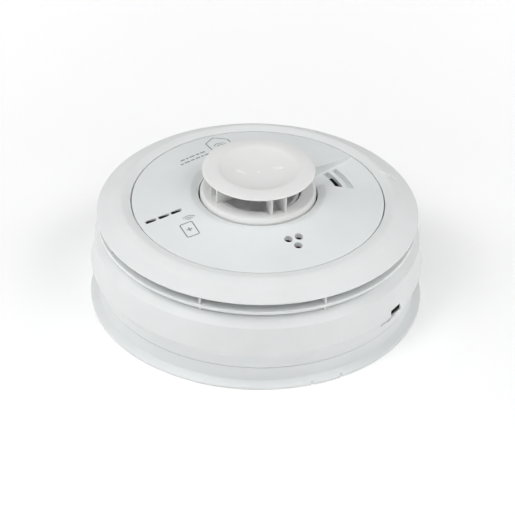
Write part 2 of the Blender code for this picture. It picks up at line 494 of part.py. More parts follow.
for r0, r1 in ((34.8, 37.6), (39.4, 42.0)):
    slots.append(combine(turned([(r0, 43.0), (r1, 43.0), (r1, 46.0), (r0, 46.0)], 80), ("INTERSECT", prism(fan, 42.0, 47.0))))
mouth_cut = combine(turned([(35.0, 40.0), (37.4, 40.0), (37.4, 44.0), (35.0, 44.0)], 80), ("INTERSECT", prism(half_fan, 39.0, 43.6)))
lights = [stadium(x, LIGHT_Y, 4.9, 1.9, 40.0, 52.0) for x in LIGHT_SLOTS]
vents = [cylinder(x, y, 1.75, 40.0, 52.0, 12) for x, y in GAS_HOLES]
press_post = cylinder(sx, sy, 1.9, 29.6, 46.8, 12)
button = combine(button, ("UNION", tray_bm), ("UNION", duct), ("UNION", press_post), ("DIFFERENCE", cut), ("DIFFERENCE", together(slots)),
                 ("DIFFERENCE", mouth_cut), ("DIFFERENCE", together(lights)), ("DIFFERENCE", together(vents)))
node("test_button", button, WHITE_BUTTON, button_body)

# ---- sensor cage -----------------------------------------------------------------------------
cage = turned([(17.8, ON_BOARD), (19.4, ON_BOARD), (19.4, 46.6), (23.2, 46.6), (R_CAGE, 47.2), (R_CAGE, 50.2), (23.9, 51.0), (23.0, 51.5),
               (17.8, 51.3)], 40)
cap = turned([(0, 59.5), (14.0, 59.5), (17.5, 60.1), (22.9, 60.4), (R_CAP, 60.8), (23.3, 61.25), (22.0, 61.65), (20.4, 61.87), (18.2, Z_TOP),
              (16.8, 61.95), (15.7, 61.55), (12.0, 60.95), (7.0, 60.5), (0, 60.3)], 40)
vanes = []
for quarter in (0, 90, 180, 270):
    for side in (-8.8, 8.8):
        vanes.append(along(box(13.0, 20.7, -0.5, 0.5, 49.8, 60.6), quarter + side))
node("sensor_cage", combine(cage, ("UNION", together(vanes)), ("UNION", cap), ("DIFFERENCE", cylinder(0, 0, 17.8, 48.0, 51.0, 40))),
     WHITE_CAGE, head_body, (0, 0, ON_BOARD))
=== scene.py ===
"""Looks of the heat and carbon monoxide alarm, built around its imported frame.

Shapes are worked out in millimetres in the frame of the alarm (origin at the centre of the base's back face, +Z out
towards the sensor cage, +X towards the sounder slots) and stored in metres.
"""

import math

import bmesh
import bpy
from mathutils import Matrix, Vector


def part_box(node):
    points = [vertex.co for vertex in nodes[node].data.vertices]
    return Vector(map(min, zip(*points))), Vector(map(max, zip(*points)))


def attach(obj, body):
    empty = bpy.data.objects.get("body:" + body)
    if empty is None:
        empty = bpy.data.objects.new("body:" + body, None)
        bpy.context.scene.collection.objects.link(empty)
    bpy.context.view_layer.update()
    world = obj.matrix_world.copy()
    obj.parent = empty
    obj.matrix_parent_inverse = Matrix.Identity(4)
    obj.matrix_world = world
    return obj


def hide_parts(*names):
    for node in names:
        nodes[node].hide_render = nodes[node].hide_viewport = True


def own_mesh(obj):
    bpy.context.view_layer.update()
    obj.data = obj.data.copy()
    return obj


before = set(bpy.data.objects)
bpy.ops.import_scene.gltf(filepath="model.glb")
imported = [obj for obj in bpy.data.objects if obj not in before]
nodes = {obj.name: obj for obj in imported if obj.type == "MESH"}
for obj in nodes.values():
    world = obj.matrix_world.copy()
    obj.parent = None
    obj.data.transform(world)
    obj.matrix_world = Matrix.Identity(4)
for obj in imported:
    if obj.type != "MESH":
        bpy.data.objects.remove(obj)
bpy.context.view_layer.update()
MM = 0.001
SEG = 288


# ------------------------------------------------------------------ outlines
def polar(radius, azimuth):
    a = math.radians(azimuth)
    return radius * math.cos(a), radius * math.sin(a)


def rounded(points, steps=4):
    """A closed outline of (a, b) or (a, b, radius) corners, each corner with a radius turned into an arc."""
    out = []
    count = len(points)
    for i, p in enumerate(points):
        radius = p[2] if len(p) > 2 else 0.0
        here = Vector(p[:2])
        u = Vector(points[i - 1][:2]) - here
        v = Vector(points[(i + 1) % count][:2]) - here
        if radius <= 0 or u.length < 1e-9 or v.length < 1e-9:
            out.append(tuple(here))
            continue
        lu, lv = u.length, v.length
        u.normalize()
        v.normalize()
        angle = math.acos(max(-1.0, min(1.0, u.dot(v))))
        if angle > math.radians(177):
            out.append(tuple(here))
            continue
        reach = min(radius / math.tan(angle / 2), 0.48 * lu, 0.48 * lv)
        radius = reach * math.tan(angle / 2)
        centre = here + (u + v).normalized() * (radius / math.sin(angle / 2))
        first, last = here + u * reach - centre, here + v * reach - centre
        a0, a1 = math.atan2(first.y, first.x), math.atan2(last.y, last.x)
        turn = (a1 - a0 + math.pi) % (2 * math.pi) - math.pi
        for k in range(steps + 1):
            a = a0 + turn * k / steps
            out.append((centre.x + radius * math.cos(a), centre.y + radius * math.sin(a)))
    return out


def smooth_line(points, per=6):
    """Points on a smooth curve through the given (a, b) points, both ends kept."""
    out = []
    p = [Vector(q) for q in points]
    p = [p[0] * 2 - p[1]] + p + [p[-1] * 2 - p[-2]]
    for i in range(1, len(p) - 2):
        for k in range(per):
            t = k / per
            m0, m1 = (p[i + 1] - p[i - 1]) / 2, (p[i + 2] - p[i]) / 2
            h = ((2 * t**3 - 3 * t**2 + 1) * p[i] + (t**3 - 2 * t**2 + t) * m0
                 + (-2 * t**3 + 3 * t**2) * p[i + 1] + (t**3 - t**2) * m1)
            out.append(tuple(h))
    out.append(tuple(points[-1]))
    return out


def height_on(line, radius):
    """Height of a top line, given from the outside in or the inside out, at a radius."""
    for (r0, z0), (r1, z1) in zip(line, line[1:]):
        if min(r0, r1) - 1e-9 <= radius <= max(r0, r1) + 1e-9 and abs(r1 - r0) > 1e-9:
            return z0 + (z1 - z0) * (radius - r0) / (r1 - r0)
    return line[0][1] if abs(line[0][0] - radius) < abs(line[-1][0] - radius) else line[-1][1]


# ------------------------------------------------------------------ solids, in millimetres
def turned(profile, segs=SEG, centre=(0.0, 0.0)):
    bm = bmesh.new()
    verts = [bm.verts.new((r, 0.0, z)) for r, z in profile]
    edges = []
    for i in range(len(verts)):
        j = (i + 1) % len(verts)
        if profile[i][0] < 1e-6 and profile[j][0] < 1e-6:
            continue
        edges.append(bm.edges.new((verts[i], verts[j])))
    bmesh.ops.spin(bm, geom=verts + edges, cent=(0, 0, 0), axis=(0, 0, 1), angle=2 * math.pi, steps=segs, use_merge=True)
    bmesh.ops.remove_doubles(bm, verts=bm.verts, dist=1e-4)
    bmesh.ops.recalc_face_normals(bm, faces=bm.faces)
    bmesh.ops.translate(bm, verts=bm.verts, vec=(centre[0], centre[1], 0))
    return bm


def box(x0, x1, y0, y1, z0, z1, edge=0.0, segments=2):
    bm = bmesh.new()
    bmesh.ops.create_cube(bm, size=1.0)
    bmesh.ops.scale(bm, verts=bm.verts, vec=(x1 - x0, y1 - y0, z1 - z0))
    bmesh.ops.translate(bm, verts=bm.verts, vec=((x0 + x1) / 2, (y0 + y1) / 2, (z0 + z1) / 2))
    if edge:
        bmesh.ops.bevel(bm, geom=list(bm.edges), offset=edge, segments=segments, profile=0.5, affect="EDGES")
    return bm


def prism(outline, z0, z1, edge=0.0, segments=2):
    """A flat (x, y) outline from z0 to z1, its rims rounded by `edge`."""
    bm = bmesh.new()
    face = bm.faces.new([bm.verts.new((x, y, z0)) for x, y in outline])
    grown = bmesh.ops.extrude_face_region(bm, geom=[face])
    top = [g for g in grown["geom"] if isinstance(g, bmesh.types.BMVert)]
    bmesh.ops.translate(bm, verts=top, vec=(0, 0, z1 - z0))
    bmesh.ops.recalc_face_normals(bm, faces=bm.faces)
    if edge:
        rims = [e for e in bm.edges if abs(e.verts[0].co.z - e.verts[1].co.z) < 1e-6]
        bmesh.ops.bevel(bm, geom=rims, offset=edge, segments=segments, profile=0.5, affect="EDGES", clamp_overlap=True)
    return bm


def cylinder(x, y, radius, z0, z1, segs=48):
    bm = bmesh.new()
    bmesh.ops.create_cone(bm, cap_ends=True, segments=segs, radius1=radius, radius2=radius, depth=z1 - z0)
    bmesh.ops.translate(bm, verts=bm.verts, vec=(x, y, (z0 + z1) / 2))
    return bm


def capsule(cx, cy, length, width, steps=12, corner=None):
    """A slot outline long along X; corner is its corner radius, half the width when left out."""
    r = width / 2 if corner is None else corner
    out = []
    for sx, sy, start in ((1, -1, -90), (1, 1, 0), (-1, 1, 90), (-1, -1, 180)):
        for k in range(steps + 1):
            dx, dy = polar(r, start + 90 * k / steps)
            out.append((cx + sx * (length / 2 - r) + dx, cy + sy * (width / 2 - r) + dy))
    clean = []
    for p in out:
        if not clean or math.dist(p, clean[-1]) > 1e-5:
            clean.append(p)
    if math.dist(clean[0], clean[-1]) < 1e-5:
        clean.pop()
    return clean


def funnel(outline_of, z_low, z_high, grow):
    """A tapering cutter: outline_of(extra) at z_low with no extra, at z_high grown by `grow`."""
    low, high = outline_of(0.0), outline_of(grow)
    bm = bmesh.new()
    a = [bm.verts.new((x, y, z_low)) for x, y in low]
    b = [bm.verts.new((x, y, z_high)) for x, y in high]
    n = len(a)
    for i in range(n):
        bm.faces.new((a[i], a[(i + 1) % n], b[(i + 1) % n], b[i]))
    bm.faces.new(a[::-1])
    bm.faces.new(b)
    bmesh.ops.recalc_face_normals(bm, faces=bm.faces)
    return bm


def spun(bm, degrees, axis, cent=(0, 0, 0)):
    bmesh.ops.rotate(bm, verts=bm.verts, cent=cent, matrix=Matrix.Rotation(math.radians(degrees), 3, axis))
    return bm


def moved(bm, x, y, z):
    bmesh.ops.translate(bm, verts=bm.verts, vec=(x, y, z))
    return bm


def along(bm, azimuth, radius=0.0, z=0.0):
    x, y = polar(radius, azimuth)
    return moved(spun(bm, azimuth, "Z"), x, y, z)


def together(parts):
    out = bmesh.new()
    for bm in parts:
        mesh = bpy.data.meshes.new("part")
        bm.to_mesh(mesh)
        bm.free()
        out.from_mesh(mesh)
        bpy.data.meshes.remove(mesh)
    return out


def hidden(bm):
    mesh = bpy.data.meshes.new("tool")
    bm.to_mesh(mesh)
    bm.free()
    ob = bpy.data.objects.new("tool", mesh)
    bpy.context.scene.collection.objects.link(ob)
    return ob


def combine(bm, *steps):
    """Exact booleans in turn."""
    target = hidden(bm)
    tools = []
    for operation, shape in steps:
        tool = hidden(shape)
        tools.append(tool)
        cut = target.modifiers.new("cut", "BOOLEAN")
        cut.operation = operation
        cut.solver = "EXACT"
        cut.object = tool
    bpy.context.view_layer.update()
    graph = bpy.context.evaluated_depsgraph_get()
    mesh = bpy.data.meshes.new_from_object(target.evaluated_get(graph))
    out = bmesh.new()
    out.from_mesh(mesh)
    bmesh.ops.remove_doubles(out, verts=out.verts, dist=5e-4)
    bpy.data.meshes.remove(mesh)
    for ob in tools + [target]:
        data = ob.data
        bpy.data.objects.remove(ob, do_unlink=True)
        bpy.data.meshes.remove(data)
    return out


def piece(name, bm, mat, body, replaces=(), smooth=32.0):
    mesh = bpy.data.meshes.new(name)
    bmesh.ops.scale(bm, verts=bm.verts, vec=(MM, MM, MM))
    bmesh.ops.recalc_face_normals(bm, faces=bm.faces)
    bm.to_mesh(mesh)
    bm.free()
    mesh.materials.append(mat)
    mesh.shade_smooth()
    mesh.set_sharp_from_angle(angle=math.radians(smooth))
    ob = bpy.data.objects.new(name, mesh)
    bpy.context.scene.collection.objects.link(ob)
    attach(ob, body)
    if replaces:
        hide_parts(*replaces)
    return ob


# ------------------------------------------------------------------ materials
class Nodes:
    """A small writer of shader nodes."""

    def __init__(self, name):
        self.mat = bpy.data.materials.new(name)
        self.mat.use_nodes = True
        self.tree = self.mat.node_tree
        self.shader = self.tree.nodes["Principled BSDF"]
        self.where = self.add("ShaderNodeTexCoord").outputs["Object"]

    def add(self, kind, **values):
        n = self.tree.nodes.new(kind)
        for key, value in values.items():
            setattr(n, key, value)
        return n

    def link(self, a, b):
        self.tree.links.new(a, b)

    def noise(self, per_mm, detail=2.0, rough=0.5, stretch=None):
        """Noise whose features are about 1 / per_mm millimetres across."""
        n = self.add("ShaderNodeTexNoise")
        n.inputs["Scale"].default_value = per_mm * 1000.0
        n.inputs["Detail"].default_value = detail
        n.inputs["Roughness"].default_value = rough
        source = self.where
        if stretch:
            m = self.add("ShaderNodeMapping")
            m.inputs["Scale"].default_value = stretch
            self.link(source, m.inputs["Vector"])
            source = m.outputs["Vector"]
        self.link(source, n.inputs["Vector"])
        return n.outputs["Fac"]

    def remap(self, value, a, b, low=0.0, high=1.0):
        n = self.add("ShaderNodeMapRange")
        n.inputs["From Min"].default_value = low
        n.inputs["From Max"].default_value = high
        n.inputs["To Min"].default_value = a
        n.inputs["To Max"].default_value = b
        self.link(value, n.inputs["Value"])
        return n.outputs["Result"]

    def blend(self, fac, one, two):
        n = self.add("ShaderNodeMix", data_type="RGBA")
        if isinstance(fac, (int, float)):
            n.inputs[0].default_value = fac
        else:
            self.link(fac, n.inputs[0])
        for socket, value in ((n.inputs[6], one), (n.inputs[7], two)):
            if isinstance(value, (tuple, list)):
                socket.default_value = (*value, 1.0)
            else:
                self.link(value, socket)
        return n.outputs[2]

    def bump(self, layers):
        """layers of (height output, distance in mm, strength), each on top of the one before."""
        last = None
        for height, depth, strength in layers:
            b = self.add("ShaderNodeBump")
            b.inputs["Strength"].default_value = strength
            b.inputs["Distance"].default_value = depth * MM
            self.link(height, b.inputs["Height"])
            if last:
                self.link(last, b.inputs["Normal"])
            last = b.outputs["Normal"]
        self.link(last, self.shader.inputs["Normal"])

    def set(self, **values):
        for key, value in values.items():
            socket = self.shader.inputs[key.replace("_", " ")]
            if isinstance(value, (int, float)):
                socket.default_value = value
            elif isinstance(value, tuple):
                socket.default_value = (*value, 1.0)
            else:
                self.link(value, socket)
        return self.mat


def plastic(name, colour, rough, spread=0.012, grain=0.006, per_mm=7.0, cloud=0.05, specular=0.4, subsurface=0.0):
    """Moulded plastic: a fine spark-eroded grain, slow flow clouds in the colour, and small changes of gloss."""
    n = Nodes(name)
    slow = n.noise(cloud, 3.0, 0.55)
    fine = n.noise(per_mm, 2.0, 0.6)
    mid = n.noise(per_mm * 0.16, 3.0, 0.6)
    dark = tuple(c * (1 - 2.2 * spread) for c in colour)
    light = tuple(min(1.0, c * (1 + spread)) for c in colour)
    base = n.blend(n.remap(slow, 0.0, 1.0, 0.3, 0.7), dark, light)
    speck = n.remap(fine, 0.0, 1.0, 0.25, 0.6)
    base = n.blend(n.remap(speck, 0.06, 0.0), base, tuple(c * 0.86 for c in colour))
    n.set(Base_Color=base, Roughness=n.remap(mid, rough - 0.05, rough + 0.06, 0.3, 0.7), Metallic=0.0, Specular_IOR_Level=specular)
    if subsurface:
        n.shader.inputs["Subsurface Weight"].default_value = subsurface
        n.shader.inputs["Subsurface Scale"].default_value = 0.0006
        n.shader.inputs["Subsurface Radius"].default_value = (1.0, 0.9, 0.8)
    n.bump([(mid, grain * 1.5, 0.35), (fine, grain, 0.6)])
    return n.mat


def metal(name, colour, rough, brushed=None, per_mm=2.0, tint=None):
    """Metal with drawn or rolled lines, handling haze and slight tarnish."""
    n = Nodes(name)
    haze = n.noise(0.25, 4.0, 0.6)
    lines = n.noise(per_mm, 3.0, 0.6, brushed)
    tarnish = tint or tuple(c * 0.72 for c in colour)
    base = n.blend(n.remap(haze, 0.0, 0.8, 0.45, 0.75), colour, tarnish)
    n.set(Base_Color=base, Metallic=1.0, Roughness=n.remap(lines, rough - 0.08, rough + 0.12, 0.3, 0.7))
    n.bump([(lines, 0.01, 0.35)])
    return n.mat


WHITE = plastic("shell_white", (0.815, 0.835, 0.833), 0.42, specular=0.15)
WHITE_BASE = plastic("base_white", (0.805, 0.825, 0.825), 0.45, grain=0.008, per_mm=6.0, specular=0.15)
WHITE_BUTTON = plastic("button_white", (0.82, 0.845, 0.845), 0.40, specular=0.15)
WHITE_CAGE = plastic("cage_white", (0.835, 0.838, 0.83), 0.40, specular=0.15)
# painted shade: a near black for dark pieces set where the slots look into shade
SHADE_BLACK = plastic("painted_shade_black", (0.010, 0.010, 0.011), 0.7, spread=0.15, grain=0.01, specular=0.15)
# painted shadow: a grey for the moulded arrow, standing in for the shadow along its raised edges
ARROW_SHADOW_GREY = plastic("painted_arrow_shadow", (0.52, 0.54, 0.54), 0.5, specular=0.15)
WHITE_STEM = plastic("stem_white", (0.76, 0.755, 0.76), 0.45, specular=0.2)
# painted highlight: a whiter plastic for small raised marks, standing in for the light they catch
HIGHLIGHT_WHITE = plastic("painted_highlight_white", (0.93, 0.945, 0.945), 0.38, specular=0.3)
IVORY = plastic("ivory_plastic", (0.70, 0.69, 0.63), 0.5, grain=0.01)
BLACK = plastic("black_plastic", (0.028, 0.028, 0.03), 0.5, spread=0.1, grain=0.01, specular=0.4)
CHIP = plastic("chip_epoxy", (0.02, 0.02, 0.022), 0.5, spread=0.15, grain=0.012, per_mm=12.0)
SLEEVE = plastic("capacitor_sleeve", (0.03, 0.035, 0.09), 0.32, spread=0.08, grain=0.004)
FILM_BOX = plastic("film_box", (0.62, 0.46, 0.07), 0.4, spread=0.05)
VARISTOR = plastic("varistor_epoxy", (0.03, 0.13, 0.40), 0.38, spread=0.08, grain=0.02, per_mm=3.0)
BEAD = plastic("thermistor_bead", (0.045, 0.045, 0.055), 0.22, spread=0.1, grain=0.006, per_mm=4.0)
BRASS = metal("brass_strip", (0.78, 0.60, 0.26), 0.30, (1, 8, 1))
PIEZO = metal("piezo_brass", (0.76, 0.61, 0.30), 0.25, (8, 1, 1))
STEEL = metal("zinc_steel", (0.62, 0.63, 0.65), 0.34, None, 3.0, (0.50, 0.50, 0.42))
SPRING = metal("spring_steel", (0.55, 0.56, 0.58), 0.28, (1, 1, 12), 3.0)
CELL = metal("cell_nickel", (0.68, 0.68, 0.67), 0.24, (6, 1, 1), 3.0)
GAS_CAN = metal("gas_cell_can", (0.56, 0.56, 0.57), 0.33, (1, 1, 9), 2.0)


def copper_winding():
    n = Nodes("winding_copper")
    wave = n.add("ShaderNodeTexWave", wave_type="BANDS", bands_direction="Z")
    wave.inputs["Scale"].default_value = 900.0
    wave.inputs["Distortion"].default_value = 0.4
    n.link(n.where, wave.inputs["Vector"])
    haze = n.noise(0.4, 3.0)
    n.set(Base_Color=n.blend(n.remap(wave.outputs["Fac"], 0.0, 0.8), (0.62, 0.27, 0.10), (0.24, 0.08, 0.03)), Metallic=0.85,
          Roughness=n.remap(haze, 0.25, 0.45, 0.3, 0.7))
    n.bump([(wave.outputs["Fac"], 0.08, 0.9)])
    return n.mat


def ferrite_core():
    n = Nodes("ferrite_core")
    pits = n.noise(5.0, 4.0, 0.7)
    n.set(Base_Color=n.blend(n.remap(pits, 0.0, 1.0, 0.35, 0.7), (0.05, 0.05, 0.053), (0.10, 0.10, 0.105)), Roughness=n.remap(pits, 0.5, 0.75), Metallic=0.0)
    n.bump([(pits, 0.03, 0.5)])
    return n.mat


def circuit_board():
    n = Nodes("solder_mask")
    sep = n.add("ShaderNodeSeparateXYZ")
    n.link(n.where, sep.inputs[0])
    tracks = n.add("ShaderNodeTexBrick")
    tracks.inputs["Scale"].default_value = 160.0
    tracks.inputs["Mortar Size"].default_value = 0.035
    tracks.inputs["Mortar Smooth"].default_value = 0.2
    tracks.inputs["Color1"].default_value = (0.0, 0.0, 0.0, 1)
    tracks.inputs["Color2"].default_value = (0.15, 0.15, 0.15, 1)
    tracks.inputs["Mortar"].default_value = (1, 1, 1, 1)
    n.link(n.where, tracks.inputs["Vector"])
    dots = n.add("ShaderNodeTexVoronoi", feature="F1")
    dots.inputs["Scale"].default_value = 320.0
    dots.inputs["Randomness"].default_value = 0.35
    n.link(n.where, dots.inputs["Vector"])
    pads = n.remap(dots.outputs["Distance"], 1.0, 0.0, 0.16, 0.2)
    fine = n.noise(6.0, 2.0)
    mask = n.blend(n.remap(tracks.outputs["Fac"], 0.0, 0.8), (0.012, 0.115, 0.045), (0.03, 0.19, 0.07))
    mask = n.blend(pads, mask, (0.62, 0.60, 0.55))
    n.set(Base_Color=mask, Roughness=n.remap(fine, 0.28, 0.42), Metallic=n.remap(pads, 0.0, 0.9))
    n.bump([(tracks.outputs["Fac"], 0.03, 0.4), (pads, 0.05, 0.4)])
    return n.mat


def woven_screen():
    n = Nodes("woven_screen")
    sep = n.add("ShaderNodeSeparateXYZ")
    n.link(n.where, sep.inputs[0])
    turn = n.add("ShaderNodeMath", operation="ARCTAN2")
    n.link(sep.outputs["Y"], turn.inputs[0])
    n.link(sep.outputs["X"], turn.inputs[1])

    def wires(source, count):
        m = n.add("ShaderNodeMath", operation="MULTIPLY")
        m.inputs[1].default_value = count
        n.link(source, m.inputs[0])
        s = n.add("ShaderNodeMath", operation="SINE")
        n.link(m.outputs[0], s.inputs[0])
        return n.remap(s.outputs[0], 0.0, 1.0, -1.0, 1.0)

    a, b = wires(turn.outputs[0], 420.0), wires(sep.outputs["Z"], 7200.0)
    both = n.add("ShaderNodeMath", operation="MAXIMUM")
    n.link(a, both.inputs[0])
    n.link(b, both.inputs[1])
    n.set(Base_Color=n.blend(n.remap(both.outputs[0], 0.0, 1.0, 0.4, 0.9), (0.42, 0.42, 0.42), (0.84, 0.85, 0.85)), Metallic=0.0,
          Roughness=n.remap(both.outputs[0], 0.7, 0.35))
    n.bump([(both.outputs[0], 0.08, 0.9)])
    return n.mat


def felt():
    n = Nodes("filter_felt")
    a, b = n.noise(2.2, 5.0, 0.75, (1, 3, 1)), n.noise(3.1, 4.0, 0.7, (3, 1, 1))
    n.set(Base_Color=n.blend(n.remap(a, 0.0, 1.0, 0.3, 0.7), (0.10, 0.012, 0.012), (0.26, 0.035, 0.03)), Roughness=n.remap(b, 0.8, 0.98), Metallic=0.0)
    n.bump([(a, 0.12, 0.8), (b, 0.1, 0.6)])
    return n.mat


def tinted(name, colour, rough=0.12, transmission=0.5):
    n = Nodes(name)
    swirl = n.noise(0.7, 3.0)
    n.set(Base_Color=n.blend(n.remap(swirl, 0.0, 0.5), colour, tuple(c * 0.6 for c in colour)), Roughness=n.remap(swirl, rough, rough + 0.1), Metallic=0.0,
          Transmission_Weight=transmission, IOR=1.5)
    n.bump([(swirl, 0.01, 0.2)])
    return n.mat


def ink(name="mark_ink", colour=(0.27, 0.29, 0.30), patch=0.25):
    """Pad-printed grey ink, a little uneven where it lay thin."""
    n = Nodes(name)
    thin, fine = n.noise(1.6, 4.0, 0.6), n.noise(9.0, 2.0)
    n.set(Base_Color=n.blend(n.remap(thin, 0.0, patch, 0.35, 0.7), colour, tuple(min(1, c * 1.5) for c in colour)), Roughness=n.remap(fine, 0.42, 0.58), Metallic=0.0)
    n.bump([(fine, 0.004, 0.4)])
    return n.mat


SMOKED = tinted("smoked_guide", (0.012, 0.013, 0.014), 0.28, 0.0)
LED_GREEN = tinted("led_green_lens", (0.10, 0.55, 0.16))
LED_RED = tinted("led_red_lens", (0.60, 0.05, 0.04))
LED_AMBER = tinted("led_amber_lens", (0.75, 0.38, 0.04))
COPPER, FERRITE, BOARD, SCREEN, FELT, INK = copper_winding(), ferrite_core(), circuit_board(), woven_screen(), felt(), ink()

# ------------------------------------------------------------------ sizes taken from the frame, in millimetres
base_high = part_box("mounting_base")[1]
cage_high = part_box("sensor_cage")[1]
R_FLANGE = base_high.x / MM
Z_TOP = cage_high.z / MM
R_BASE, R_HEAD, R_LIP, R_DISC, R_SEAM, R_CAGE, R_CAP = 66.85, 70.1, 68.5, 67.45, 53.0, 24.3, 23.6
Z_BASE, Z_HEAD, Z_CREASE, Z_LIP = 8.36, 8.62, 17.6, 29.2
SLOT_AZ = -59.3
RIB_AZ = [-90 + 45 * k for k in range(8)]
POST_R, POST_AZ = 60.5, (-30, 60, 150, -120)
GAS_HOLES = ((-2.35, -35.05), (2.35, -35.05), (0.0, -39.6))
LIGHT_SLOTS, LIGHT_Y = (-47.7, -42.0, -36.5), 1.4
SWITCH = (-20.0, -36.0)
RAIL_Y, CATCH_R, CATCH_Z = 37.0, 60.0, 4.6

# ------------------------------------------------------------------ mounting base
flare = [(R_FLANGE - 0.08, 0.98), (R_FLANGE - 0.28, 1.2), (R_FLANGE - 0.6, 1.36), (69.3, 1.57), (68.4, 1.85), (67.6, 2.1), (67.2, 2.24), (66.97, 2.4), (R_BASE, 2.65)]
profile = [(0, 0.0), (R_FLANGE - 0.3, 0.0), (R_FLANGE - 0.08, 0.08), (R_FLANGE, 0.28), (R_FLANGE, 0.72)] + flare
profile += rounded([(R_BASE, 2.65), (R_BASE, Z_BASE, 0.14), (65.2, Z_BASE, 0.25), (65.1, 2.0, 0.6), (30, 2.0), (0, 2.0)], 4)[1:]
base = turned(profile)
rails = []
for side in (-1, 1):
    y0, y1, y2 = side * RAIL_Y, side * (RAIL_Y + 1.8), side * (RAIL_Y + 5.2)
    rails.append(box(-20, 20, min(y0, y1), max(y0, y1), 1.5, 13.0, 0.25))
    for x0, x1 in ((-20, -8), (8, 20)):
        rails.append(box(x0, x1, min(y1, y2) - (0.7 if side > 0 else 0), max(y1, y2) + (0.7 if side < 0 else 0), 11.2, 13.0, 0.25))
pads = [box(side * 30 - 5.5, side * 30 + 5.5, -9.5, 9.5, 1.5, 2.6, 0.2) for side in (-1, 1)]
ears = [along(box(-1.9, 1.9, y0, y1, 1.5, CATCH_Z + 1.9, 0.25), SLOT_AZ, CATCH_R) for y0, y1 in ((5.1, 6.7), (-6.7, -5.1))]
# stiffening ribs of the moulding on the floor, clear of everything that slides over it
floor_ribs = [along(box(46.5, 64.9, -0.6, 0.6, 1.6, 6.4, 0.2), az) for az in (-150, -30, 30, 75, 105, 150)]
pin_hole = along(spun(cylinder(0, 0, 1.3, -9, 9, 24), 90, "X"), SLOT_AZ, CATCH_R, CATCH_Z)
holes = [prism(capsule(0, -26, 28, 18, 6, 1.5), -1, 3)]
for side in (-1, 1):
    holes.append(spun(prism(capsule(0, side * -30.0, 13.0, 4.6), -1, 3), 90, "Z"))
    holes.append(spun(funnel(lambda g, s=side: capsule(0, s * -30.0, 13.0 + 2 * g, 4.6 + 2 * g), 2.2, 2.9, 0.7), 90, "Z"))
for azimuth in (-95.35, -84.65):
    holes.append(along(box(-0.9, 3, -0.6, 0.6, -1, 3, 0.2), azimuth, R_FLANGE))
base = combine(base, ("UNION", together(rails[:1] + rails[3:4])), ("UNION", together(rails[1:3] + rails[4:])), ("UNION", together(ears)), ("UNION", together(floor_ribs)), ("UNION", together(pads)),
               ("DIFFERENCE", together(holes)), ("DIFFERENCE", pin_hole))
piece("base_moulding", base, WHITE_BASE, "base", ["mounting_base"])

# ------------------------------------------------------------------ side shell
skirt = smooth_line([(66.95, 9.0), (67.02, 10.6), (67.2, 12.2), (67.6, 13.9), (68.35, 15.4), (69.35, 16.7), (69.98, 17.35)], 6)
shoulder = rounded([(R_LIP + 0.02, 28.6), (R_LIP, Z_LIP, 1.1), (64.7, 33.1, 1.4), (60.2, 33.3)], 6)[1:]
profile = rounded([(66.0, Z_HEAD), (66.9, Z_HEAD, 0.14), (66.95, 9.0)], 3)[1:-1] + skirt
profile += rounded([(69.98, 17.35), (R_HEAD, Z_CREASE, 0.16), (R_LIP + 0.05, 28.6)], 3)[1:-1] + shoulder
profile += [(60.2, 31.0), (64.4, 31.0), (66.4, 28.8), (67.9, 18.2), (65.7, 14.4), (65.2, Z_HEAD)]
wall = turned(profile)
posts = [combine(cylinder(*polar(POST_R, az), 3.6, 13.4, 32.2, 48), ("DIFFERENCE", cylinder(0, 0, 59.5, 30.6, 34, 144))) for az in POST_AZ]
pilots = [cylinder(*polar(POST_R, az), 1.8, 12, 26.0, 24) for az in POST_AZ]
slot_cut = along(spun(spun(prism(capsule(0, 0, 7.0, 4.3, 6, 0.8), -5, 5), 90, "X"), 90, "Z"), SLOT_AZ, 68.0, 18.2)
slot_relief = along(spun(prism([(63, -15.5), (67.7, -15.5), (69.3, -17.6), (69.3, -20.8), (63, -20.8)], -4.6, 4.6), -90, "X"), SLOT_AZ)
shell = combine(wall, ("UNION", together(posts)), ("DIFFERENCE", together(pilots)), ("DIFFERENCE", slot_relief), ("DIFFERENCE", slot_cut))
piece("side_wall", shell, WHITE, "head", ["side_shell"])
# a dark flap hung close behind the slot, which a blade pushes aside; its black is painted shade for the dark inside of
# the slot
shade_flap = along(spun(prism([(66.2, -15.7), (67.55, -15.7), (69.12, -17.75), (69.12, -20.65), (68.5, -20.65), (68.5, -18.0), (67.1, -16.3), (66.2, -16.3)], -4.45, 4.45, 0.05), -90, "X"), SLOT_AZ)
piece("slot_shade_flap", shade_flap, SHADE_BLACK, "head")
# a plain arrow moulded on the skirt below the slot, pointing the way the head slides off; its grey is painted shadow
# along its raised edge
skin = turned([(r + 0.2, z) for r, z in skirt[8:-1]] + [(r - 0.4, z) for r, z in skirt[8:-1]][::-1])
arrow = [(-6.8, -13.3), (-1.6, -13.3), (-1.6, -12.3), (3.8, -13.6), (-1.6, -14.9), (-1.6, -13.9), (-6.8, -13.9)]
arrow = spun(spun(prism(arrow, -6, 6), -90, "X"), 90, "Z")
piece("slot_arrow", combine(skin, ("INTERSECT", along(arrow, SLOT_AZ, 68.0))), ARROW_SHADOW_GREY, "head")

